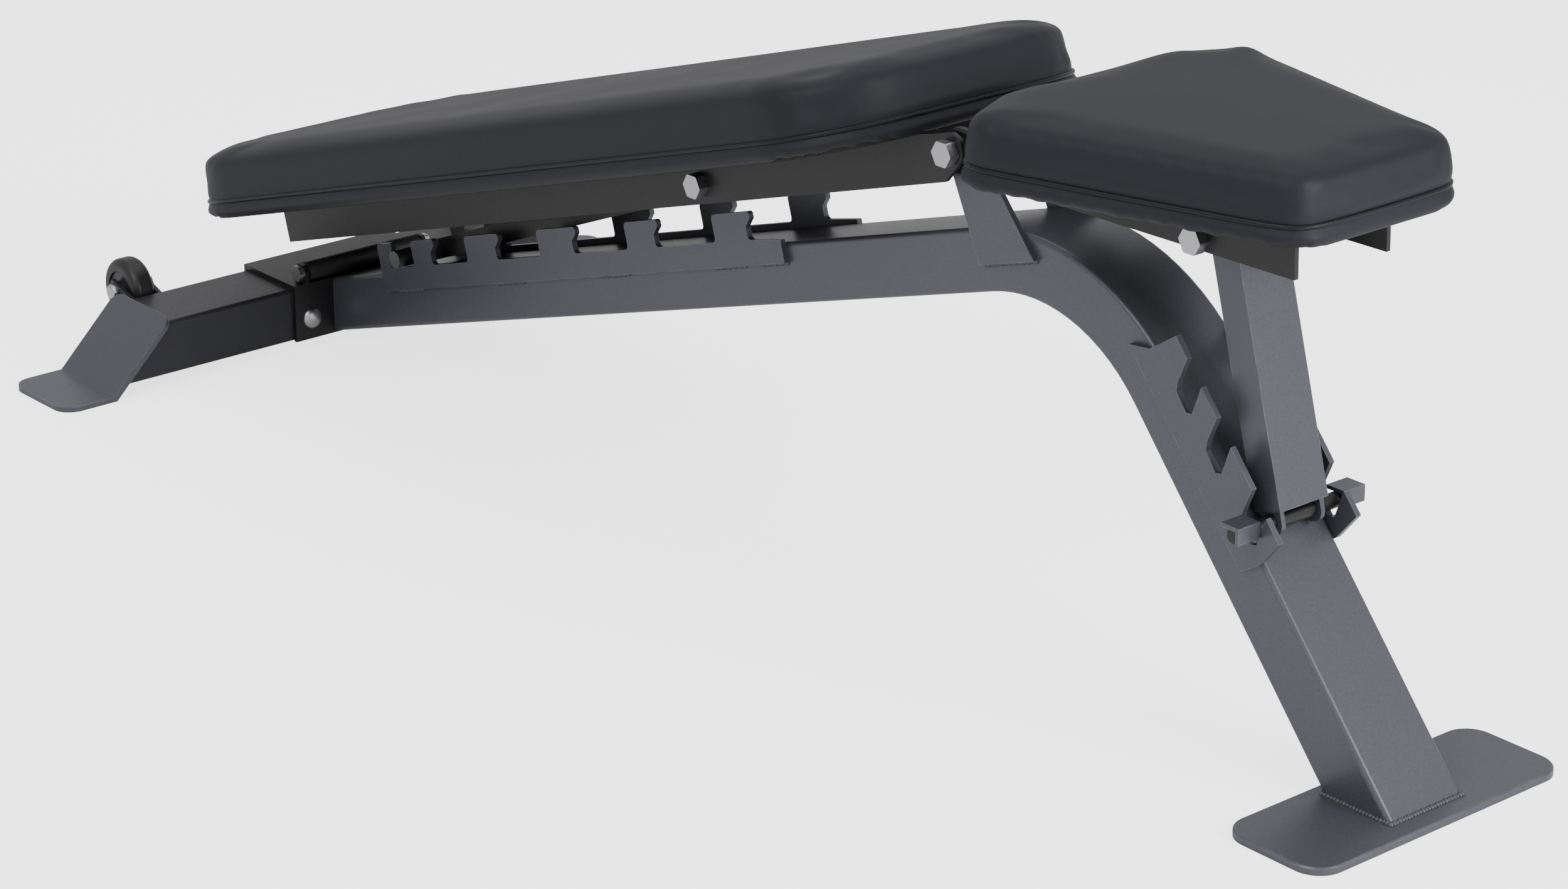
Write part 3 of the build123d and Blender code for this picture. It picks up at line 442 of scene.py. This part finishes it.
def calm(piece, low):
    """Evens out the cut squares' steps, then presses the underside's rim flat."""
    bm = bmesh.new()
    bm.from_mesh(piece.data)
    for _ in range(CALM_PASSES):
        bmesh.ops.smooth_vert(bm, verts=bm.verts, factor=0.5, use_axis_x=True, use_axis_y=True, use_axis_z=True)
    for vert in bm.verts:
        if vert.co.z < low + FLAT_RISE:
            vert.co.z = low
    bm.to_mesh(piece.data)
    bm.free()


def sew(piece, low):
    """Draws the wall in at the seam and lets the band under it flare."""
    mesh = piece.data
    for vert in mesh.vertices:
        out = Vector((vert.normal.x, vert.normal.y, 0.0))
        wall = out.length
        if wall < 0.5:
            continue
        rise = vert.co.z - low
        pull = GROOVE_DEPTH * exp(-(((rise - SEAM_RISE) / GROOVE_REACH) ** 2))
        flare = LIP_FLARE * exp(-(((rise - LIP_RISE) / GROOVE_REACH) ** 2))
        vert.co += out.normalized() * (flare - pull) * wall
    mesh.update()


def finish_pad(piece, node, body, place):
    piece.data.transform(place)
    piece.data.materials.clear()
    piece.data.materials.append(FINISHES["vinyl"])
    piece.data.polygons.foreach_set("use_smooth", [True] * len(piece.data.polygons))
    soft = piece.modifiers.new("smooth", "SUBSURF")
    soft.levels = soft.render_levels = 1
    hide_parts(node)
    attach(piece, body)


# %% [markdown]
# Piping is a thin cord wrapped in vinyl. It follows the pad's own wall, so a flat cut through
# the finished pad gives its path, and a small round section swept along that path makes it.

# %% Piping
PIPING_RADIUS = 0.0021
PIPING_STEP = 0.006


def foremost(edge):
    """Sorts edges by place, so that every run starts a ring at the same one."""
    return tuple(edge.verts[0].co + edge.verts[1].co)


def wall_loop(piece, rise_z, outermost=True):
    """The pad's outline at one height: the longest ring of a flat cut."""
    bm = bmesh.new()
    bm.from_mesh(piece.data)
    cut = bmesh.ops.bisect_plane(bm, geom=[*bm.verts, *bm.edges, *bm.faces], plane_co=(0, 0, rise_z), plane_no=(0, 0, 1))
    edges = {item for item in cut["geom_cut"] if isinstance(item, bmesh.types.BMEdge)}
    rings = []
    while edges:
        edge = max(edges, key=foremost)
        edges.discard(edge)
        first, here = sorted(edge.verts, key=lambda vert: tuple(vert.co.yxz))
        ring = [first.co.copy()]
        while True:
            ring.append(here.co.copy())
            onward = next((e for e in here.link_edges if e in edges), None)
            if onward is None:
                break
            edges.discard(onward)
            here = onward.other_vert(here)
        rings.append(ring)
    bm.free()
    return max(rings, key=lambda ring: max(abs(co.y) for co in ring) * 100 + len(ring))


def evenly(ring, step):
    """The ring's points at even spacing, lightly averaged so that the cord lies smooth."""
    kept = [ring[0]]
    for co in ring[1:]:
        if (co - kept[-1]).length >= step:
            kept.append(co)
    count = len(kept)
    return [(kept[i - 1] + kept[i] * 2 + kept[(i + 1) % count]) / 4 for i in range(count)]


def piping(name, piece, low, rise, place, body):
    ring = evenly(wall_loop(piece, low + rise), PIPING_STEP)
    middle = sum(ring, Vector()) / len(ring)
    curve = bpy.data.curves.new(name, "CURVE")
    curve.dimensions = "3D"
    curve.bevel_depth = PIPING_RADIUS
    curve.bevel_resolution = 3
    line = curve.splines.new("POLY")
    line.points.add(len(ring) - 1)
    for point, co in zip(line.points, ring):
        out = Vector((co.x - middle.x, co.y - middle.y, 0)).normalized()
        point.co = (*(co + out * PIPING_RADIUS * 0.4), 1)
    line.use_cyclic_u = True
    sweep = bpy.data.objects.new(name + "_path", curve)
    bpy.context.scene.collection.objects.link(sweep)
    mesh = bpy.data.meshes.new_from_object(sweep.evaluated_get(bpy.context.evaluated_depsgraph_get()))
    bpy.data.objects.remove(sweep)
    mesh.transform(place)
    mesh.materials.clear()
    mesh.materials.append(PIPING_VINYL)
    mesh.polygons.foreach_set("use_smooth", [True] * len(mesh.polygons))
    cord = bpy.data.objects.new(name, mesh)
    bpy.context.scene.collection.objects.link(cord)
    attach(cord, body)
    print(name, "points", len(ring))


for pad, low, word, node, body, place in (
    (back_pad, back_low, "backrest", "backrest_cushion", "backrest", BACK_PLACE),
    (seat_pad, seat_low, "seat", "seat_cushion", "seat", SEAT_PLACE),
):
    calm(pad, low)
    sew(pad, low)
    piping(f"{word}_piping", pad, low, SEAM_RISE, place, body)
    finish_pad(pad, node, body, place)


# %% [markdown]
# Where plates meet the tube they are welded. A bead is a row of overlapping puddles, each
# laid as the welder moves on, so a row of small squashed balls looks right and stays light.

# %% Weld beads
BEAD_STEP = 0.0030
BEAD_RADIUS = 0.0027


def weld(name, lines):
    """Rows of puddles along straight lines, joined as one piece."""
    bm = bmesh.new()
    for start, end in lines:
        run = end - start
        turn = run.to_track_quat("X", "Z").to_matrix().to_4x4()
        count = max(2, int(run.length / BEAD_STEP))
        for i in range(count + 1):
            size = BEAD_RADIUS * (1 + 0.10 * sin(i * 2.4))
            shape = Matrix.Diagonal((0.8, 1.0, 1.0, 1.0))
            spot = Matrix.Translation(start + run * (i / count))
            bmesh.ops.create_icosphere(bm, subdivisions=1, radius=size, matrix=spot @ turn @ shape)
    mesh = bpy.data.meshes.new(name)
    bm.to_mesh(mesh)
    bm.free()
    mesh.polygons.foreach_set("use_smooth", [True] * len(mesh.polygons))
    mesh.materials.append(BEAD_PAINT)
    bead = bpy.data.objects.new(name, mesh)
    bpy.context.scene.collection.objects.link(bead)
    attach(bead, "frame")
    print(name, "lines", len(lines), "triangles", len(mesh.polygons))


COMB_LOW = TUBE_DEPTH - 0.016
foot_corners = [on_leg(0, 0, -TUBE_HALF), on_leg(0, 0, TUBE_HALF)]
leg_back = TUBE_DEPTH / sin(LEG_SLOPE)
back_corners = [co - Vector((leg_back, 0, 0)) for co in foot_corners]
weld("leg_foot_weld", [
    (foot_corners[0], foot_corners[1]), (back_corners[0], back_corners[1]),
    (foot_corners[0], back_corners[0]), (foot_corners[1], back_corners[1]),
])
for side, word in ((1, "left"), (-1, "right")):
    y = side * TUBE_HALF
    comb = [(0.130, 0.165), (0.285, 0.325), (0.440, 0.480), (0.600, 0.640), (0.662, 0.695)]
    weld(f"comb_weld_{word}", [(on_spine(a, COMB_LOW, y), on_spine(b, COMB_LOW, y)) for a, b in comb])
    weld(f"ladder_weld_{word}", [(on_leg(0.215, -0.020, y), on_leg(0.255, -0.020, y)),
                                 (on_leg(0.340, -0.020, y), on_leg(0.385, -0.020, y))])
    weld(f"hinge_weld_{word}", [(on_spine(0.933, 0.022, y), on_spine(0.991, 0.022, y))])

# %% [markdown]
# The bench stands on a pale studio floor. A wide plane catches its shadow, and large soft
# lamps give the long gentle highlights that show a bent tube's shape. A Light Path node lets
# the floor glow for the camera alone, so it looks white and yet lights nothing from below.

# %% Floor
FLOOR_LIFT = 2.2
floor_mesh = bpy.data.meshes.new("floor")
floor_bm = bmesh.new()
bmesh.ops.create_grid(floor_bm, x_segments=1, y_segments=1, size=30.0)
floor_bm.to_mesh(floor_mesh)
floor_bm.free()
floor = bpy.data.objects.new("floor", floor_mesh)
bpy.context.scene.collection.objects.link(floor)
floor_material, floor_tree, floor_shader = start_material("studio_floor", {"Roughness": 0.6})
floor_shader.inputs["Base Color"].default_value = (0.93, 0.93, 0.93, 1)
floor_shader.inputs["Emission Color"].default_value = (1, 1, 1, 1)
seen_by = add_node(floor_tree, "ShaderNodeLightPath")
lifted = add_node(floor_tree, "ShaderNodeMath", {1: FLOOR_LIFT}, operation="MULTIPLY")
floor_tree.links.new(seen_by.outputs["Is Camera Ray"], lifted.inputs[0])
floor_tree.links.new(lifted.outputs["Value"], floor_shader.inputs["Emission Strength"])
floor_mesh.materials.append(floor_material)

# %% Lamps and sky
world = bpy.data.worlds.new("studio")
bpy.context.scene.world = world
world.use_nodes = True
world.node_tree.nodes["Background"].inputs["Color"].default_value = (1, 1, 1, 1)
world.node_tree.nodes["Background"].inputs["Strength"].default_value = 0.8


def lamp(name, spot, aim, size, power):
    data = bpy.data.lights.new(name, "AREA")
    data.shape = "SQUARE"
    data.size = size
    data.energy = power
    thing = bpy.data.objects.new(name, data)
    thing.location = spot
    thing.rotation_mode = "QUATERNION"
    thing.rotation_quaternion = (Vector(aim) - Vector(spot)).to_track_quat("-Z", "Y")
    bpy.context.scene.collection.objects.link(thing)


BENCH_MIDDLE = (0.0, 0.0, 0.25)
lamp("key_lamp", (0.6, -2.4, 2.6), BENCH_MIDDLE, 2.2, 50)
lamp("top_lamp", (-0.3, 0.4, 3.2), BENCH_MIDDLE, 2.8, 25)
lamp("front_lamp", (2.6, 0.4, 1.1), (0.5, 0.0, 0.2), 1.2, 55)

# %% [markdown]
# The camera stands off the seat end and a little above, with a long lens so that the bench's
# near and far sides stay nearly the same size.

# %% Camera
VIEW_AZIMUTH = radians(48.9)
VIEW_HEIGHT = radians(19.14)
VIEW_DISTANCE = 3.33442
VIEW_TARGET = Vector((0.09098, 0.0, 0.24915))
VIEW_ROLL = radians(0.3)
camera_data = bpy.data.cameras.new("camera")
camera_data.lens = 96.2
camera_data.sensor_width = 36.0
camera_data.shift_x = -0.04304
camera_data.shift_y = -0.11432
camera = bpy.data.objects.new("camera", camera_data)
back = Vector((sin(VIEW_AZIMUTH) * cos(VIEW_HEIGHT), -cos(VIEW_AZIMUTH) * cos(VIEW_HEIGHT), sin(VIEW_HEIGHT)))
camera.location = VIEW_TARGET + back * VIEW_DISTANCE
camera.rotation_mode = "QUATERNION"
camera.rotation_quaternion = (-back).to_track_quat("-Z", "Y") @ Matrix.Rotation(VIEW_ROLL, 3, "Z").to_quaternion()
bpy.context.scene.collection.objects.link(camera)
bpy.context.scene.camera = camera
